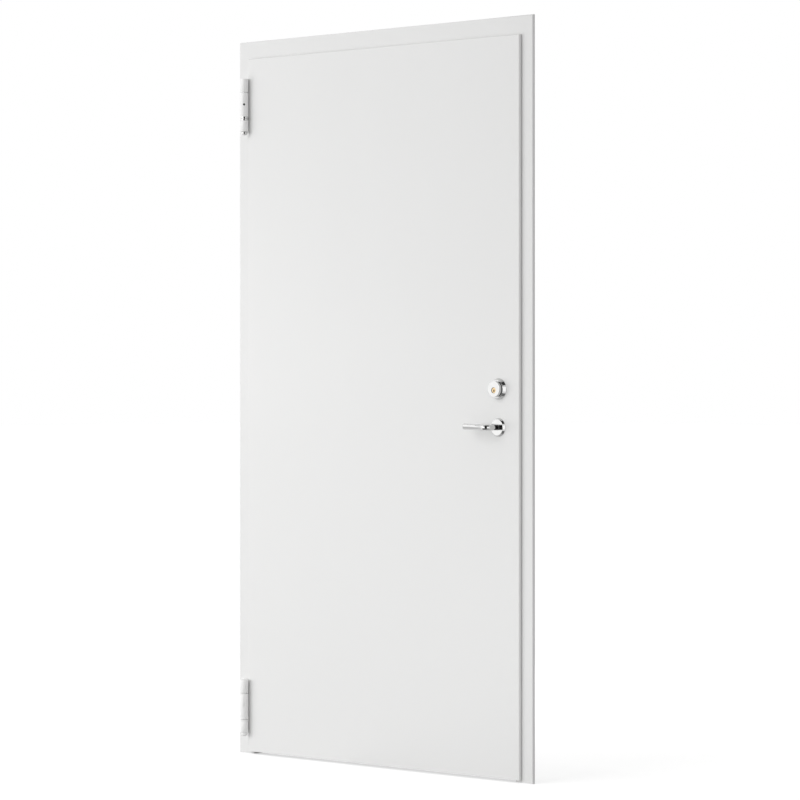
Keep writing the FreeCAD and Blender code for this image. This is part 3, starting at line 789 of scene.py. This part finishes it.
def polished_finish(name, dark, light, roughness):
    """Polished metal: a mirror with a breath of haze and the faintest hairlines."""
    material, tree, shader, place = start_finish(name, light, roughness, metallic=1.0)
    toned(tree, grain(tree, place, scale=60.0, detail=3.0), shader, dark, light)
    haze_grain = grain(tree, place, scale=140.0, detail=3.0)
    haze = ranged(tree, haze_grain, low=roughness * 0.7, high=roughness * 1.5)
    tree.links.new(haze, shader.inputs["Roughness"])
    hairlines = grain(tree, place, scale=1500.0, detail=1.0)
    relief(tree, hairlines, shader, depth=0.000002, strength=0.4)
    return material


def stand_for(node, mesh, material, body):
    """A finished mesh takes the place of its CAD node."""
    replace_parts(add_piece(node + "_finished", mesh, material, body), node)


def both_sides(centre):
    """The leaf's outer and inner side, each with the centre on its face and the way out of it."""
    return (("outer", centre, to_front), ("inner", centre + to_back * leaf_thickness, to_back))


chrome = polished_finish("polished_chrome", chrome_dark, chrome_light, roughness=0.05)
ring_low, ring_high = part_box("outer_cylinder_ring")
cylinder_centre = Vector(((ring_low.x + ring_high.x) / 2, leaf_front, (ring_low.z + ring_high.z) / 2))
ring_bore = 22.4
ring_base = 29.5
ring_rim = 1.2
ring_rim_edge = 0.35
ring_top = 25.0
ring_top_edge = 0.6
ring_height = 10.0
bore_edge = 0.3
ring_corners = [
    (ring_bore, 0, 0), (ring_base, 0, 0), (ring_base, ring_rim, ring_rim_edge),
    (ring_top, ring_height, ring_top_edge), (ring_bore, ring_height, bore_edge),
]
for side, centre, out in both_sides(cylinder_centre):
    node = side + "_cylinder_ring"
    stand_for(node, turned(node, ring_corners, centre, out), chrome, "leaf")

# Collar and housing. One turned piece of chrome: a round collar in the outer ring, and behind it
# the housing that goes through the leaf. It is bored below its middle for the plug.
collar_radius = 22.3
collar_height = 20.0
collar_edge = 0.9
housing_radius = 16.0
housing_inside = 20.0
plug_radius = 7.8
plug_gap = 0.05
plug_mouth = 0.7
plug_pocket = 0.5
plug_front = 18.4
plug_length = 36.0
plug_end = plug_front - plug_length
plug_place = Vector(joint_place["plug_turn"])
plug_drop = (cylinder_centre.z - plug_place.z) / mm
collar_side = rounded_outline([
    (housing_radius, 0, 0), (collar_radius, 0, 0), (collar_radius, collar_height, collar_edge),
    (plug_radius, collar_height, 0),
])[1:-1]
plug_bore = plug_radius + plug_gap
housing_rings = [circle(cylinder_centre, to_front, housing_radius, -housing_inside)]
housing_rings.append(circle(cylinder_centre, to_front, housing_radius, 0))
housing_rings += [circle(cylinder_centre, to_front, point.x, point.y) for point in collar_side]
for radius, height in (
    (plug_bore + plug_mouth, collar_height), (plug_bore, collar_height - plug_mouth),
    (plug_bore, plug_end - plug_pocket),
):
    housing_rings.append(circle(cylinder_centre, to_front, radius, height, plug_drop))
stand_for("cylinder_housing", skin("cylinder_housing", housing_rings), chrome, "leaf")

# Thumb turn. A turned plate with an upright wing milled round its edges, both polished chrome,
# which works the bolt from the inside.
turn_plate_radius = 21.0
turn_plate_top = 16.0
turn_plate_edge = 1.0
turn_plate_pole = 0.4
turn_wing_sunk = 1.0
turn_wing_foot = turn_plate_top - turn_wing_sunk
turn_wing_top = 32.0
turn_wing_half_length = 17.0
turn_wing_half_width = 4.5
turn_wing_edge = 2.4
block_edge_steps = 5
inner_centre = cylinder_centre + to_back * leaf_thickness


def rounded_block(name, low, high, edge):
    """Block between two corners with rounded edges."""
    work = bmesh.new()
    bmesh.ops.create_cube(work, size=1)
    for vertex in work.verts:
        for axis in range(3):
            vertex.co[axis] = low[axis] if vertex.co[axis] < 0 else high[axis]
    bmesh.ops.bevel(
        work, geom=work.edges[:], offset=edge, offset_type="OFFSET", segments=block_edge_steps,
        profile=0.5, affect="EDGES",
    )
    bmesh.ops.recalc_face_normals(work, faces=work.faces)
    mesh = bpy.data.meshes.new(name)
    work.to_mesh(mesh)
    work.free()
    mesh.shade_smooth()
    mesh.set_sharp_from_angle(angle=math.radians(crease))
    return mesh


turn_plate_corners = [
    (turn_plate_pole, 0, 0), (turn_plate_radius, 0, 0),
    (turn_plate_radius, turn_plate_top, turn_plate_edge), (turn_plate_pole, turn_plate_top, 0),
]
plate = turned("turn_plate", turn_plate_corners, inner_centre, to_back, joined=False)
wing_low = inner_centre + Vector((-turn_wing_half_width, turn_wing_foot, -turn_wing_half_length)) * mm
wing_high = inner_centre + Vector((turn_wing_half_width, turn_wing_top, turn_wing_half_length)) * mm
wing = rounded_block("turn_wing", wing_low, wing_high, turn_wing_edge * mm)
stand_for("thumb_turn", joined_mesh("thumb_turn", plate, wing), chrome, "leaf")

# Key plug. Brass, turned and polished, a little below the collar's face, with the keyway in its
# lower half. It turns with the key.
keyway_half_width = 2.2
keyway_half_height = 3.2
keyway_drop = 1.2
keyway_depth = 12.0
plug_edge = 0.5
brass_dark = (0.64, 0.48, 0.28)
brass_light = (0.74, 0.58, 0.37)
nearly_none = 1e-6
plug_centre = Vector((plug_place.x, leaf_front, plug_place.z))
brass = polished_finish("plug_brass", brass_dark, brass_light, roughness=0.10)


def keyway(height):
    """Ring of points on the keyway's edge, at a height out of the leaf's face."""
    middle = plug_centre + to_front * (height * mm) - upward * (keyway_drop * mm)
    points = []
    for step in range(turned_steps):
        angle = 2 * math.pi * step / turned_steps
        across, up = math.cos(angle), math.sin(angle)
        sideways = keyway_half_width / max(abs(across), nearly_none)
        reach = min(sideways, keyway_half_height / max(abs(up), nearly_none))
        points.append(middle + (right * across + upward * up) * (reach * mm))
    return points


plug_outline = rounded_outline([
    (plug_radius, plug_end, 0), (plug_radius, plug_front, plug_edge),
    (keyway_half_height, plug_front, 0),
])[:-1]
plug_rings = [circle(plug_centre, to_front, point.x, point.y) for point in plug_outline]
plug_rings += [keyway(plug_front), keyway(plug_front - keyway_depth)]
stand_for("key_plug", skin("key_plug", plug_rings), brass, "plug")

# Roses. Round flat discs with a sloped edge, turned and polished chrome like the cylinder. One
# sits on each side of the leaf, round the lever's neck.
rose_centre = Vector((lock_place.x, leaf_front, lock_place.z))
rose_radius = 25.5
rose_top_radius = 22.2
rose_height = 7.0
rose_rim = 0.8
rose_rim_edge = 0.3
rose_edge = 0.7
rose_bore = 7.86
rose_corners = [
    (rose_bore, 0, 0), (rose_radius, 0, 0), (rose_radius, rose_rim, rose_rim_edge),
    (rose_top_radius, rose_height, rose_edge), (rose_bore, rose_height, bore_edge),
]
for side, centre, out in both_sides(rose_centre):
    node = side + "_rose"
    stand_for(node, turned(node, rose_corners, centre, out), chrome, "leaf")

# Levers. Cast, bent and polished chrome: a round neck, a tight elbow and a grip that flattens
# towards its rounded tip, which comes back towards the leaf and rises a little. One steel spindle
# through the leaf carries both.
neck_radius = 7.8
neck_start = 0.5
box_play = 0.05
lever_reach = (leaf_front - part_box("outer_lever")[0].y) / mm - neck_radius - box_play
elbow_radius = 12.0
grip_length = 99.0
grip_tip_reach = 38.0
grip_rise = 1.8
grip_half_height = 8.2
grip_half_depth = 5.3
grip_round_end = 7.0
grip_squareness = 2.5
grip_flattens_over = 0.42
grip_tip_fullness = 0.8
grip_tip_pole = 0.02
lever_crease = 60
elbow_steps = 20
grip_steps = 24
tip_steps = 12
ring_points = 48


def lever_stations():
    """Places, directions, half heights and half depths along the lever, in millimetres. A place
    says how far it is along the grip's side, out of the leaf's face, and up."""
    out = Vector((0, 1, 0))
    run = Vector((grip_length - elbow_radius, grip_tip_reach - lever_reach, grip_rise)).normalized()
    neck_end = Vector((0, lever_reach - elbow_radius, 0))
    aside = (run - out * run.dot(out)).normalized()
    pivot = neck_end + aside * elbow_radius
    turn = out.angle(run)
    stations = []
    for share in (0, 0.5, 1):
        height = neck_start + (neck_end.y - neck_start) * share
        stations.append((Vector((0, height, 0)), out, neck_radius, neck_radius))
    for step in range(1, elbow_steps + 1):
        angle = turn * step / elbow_steps
        direction = out * math.cos(angle) + aside * math.sin(angle)
        spoke = out * math.sin(angle) - aside * math.cos(angle)
        stations.append((pivot + spoke * elbow_radius, direction, neck_radius, neck_radius))
    start = stations[-1][0]
    reach = (grip_length - start.x) / run.x
    for step in range(1, grip_steps + 1):
        along = (reach - grip_round_end) * step / grip_steps
        share = min(along / (reach * grip_flattens_over), 1)
        eased = share * share * (3 - 2 * share)
        height = neck_radius + (grip_half_height - neck_radius) * eased
        depth = neck_radius + (grip_half_depth - neck_radius) * eased
        stations.append((start + run * along, run, height, depth))
    for step in range(1, tip_steps + 1):
        angle = math.pi / 2 * step / tip_steps
        along = reach - grip_round_end * (1 - math.sin(angle))
        shrink = max(math.cos(angle), grip_tip_pole)
        height = grip_half_height * shrink
        depth = grip_half_depth * shrink ** grip_tip_fullness
        stations.append((start + run * along, run, height, depth))
    return stations


def lever_mesh(name, centre, out):
    """Skin of the lever: round at its neck, and nearer to a flat oval along its grip."""
    rings = []
    for place, direction, height, depth in lever_stations():
        up_here = (upward - direction * upward.dot(direction)).normalized()
        side = direction.cross(up_here)
        flat = min(max((neck_radius - depth) / (neck_radius - grip_half_depth), 0), 1)
        power = 2 / (2 + (grip_squareness - 2) * flat)
        ring = []
        for step in range(ring_points):
            angle = 2 * math.pi * step / ring_points
            rise = math.copysign(abs(math.sin(angle)) ** power, math.sin(angle)) * height
            proud = math.copysign(abs(math.cos(angle)) ** power, math.cos(angle)) * depth
            spot = place + up_here * rise + side * proud
            ring.append(centre - right * (spot.x * mm) + out * (spot.y * mm) + upward * (spot.z * mm))
        rings.append(ring)
    return skin(name, rings, sharp=lever_crease)


for side, centre, out in both_sides(rose_centre):
    node = side + "_lever"
    stand_for(node, lever_mesh(node, centre, out), chrome, "lever")
dress(ring_steel, "lever_spindle")
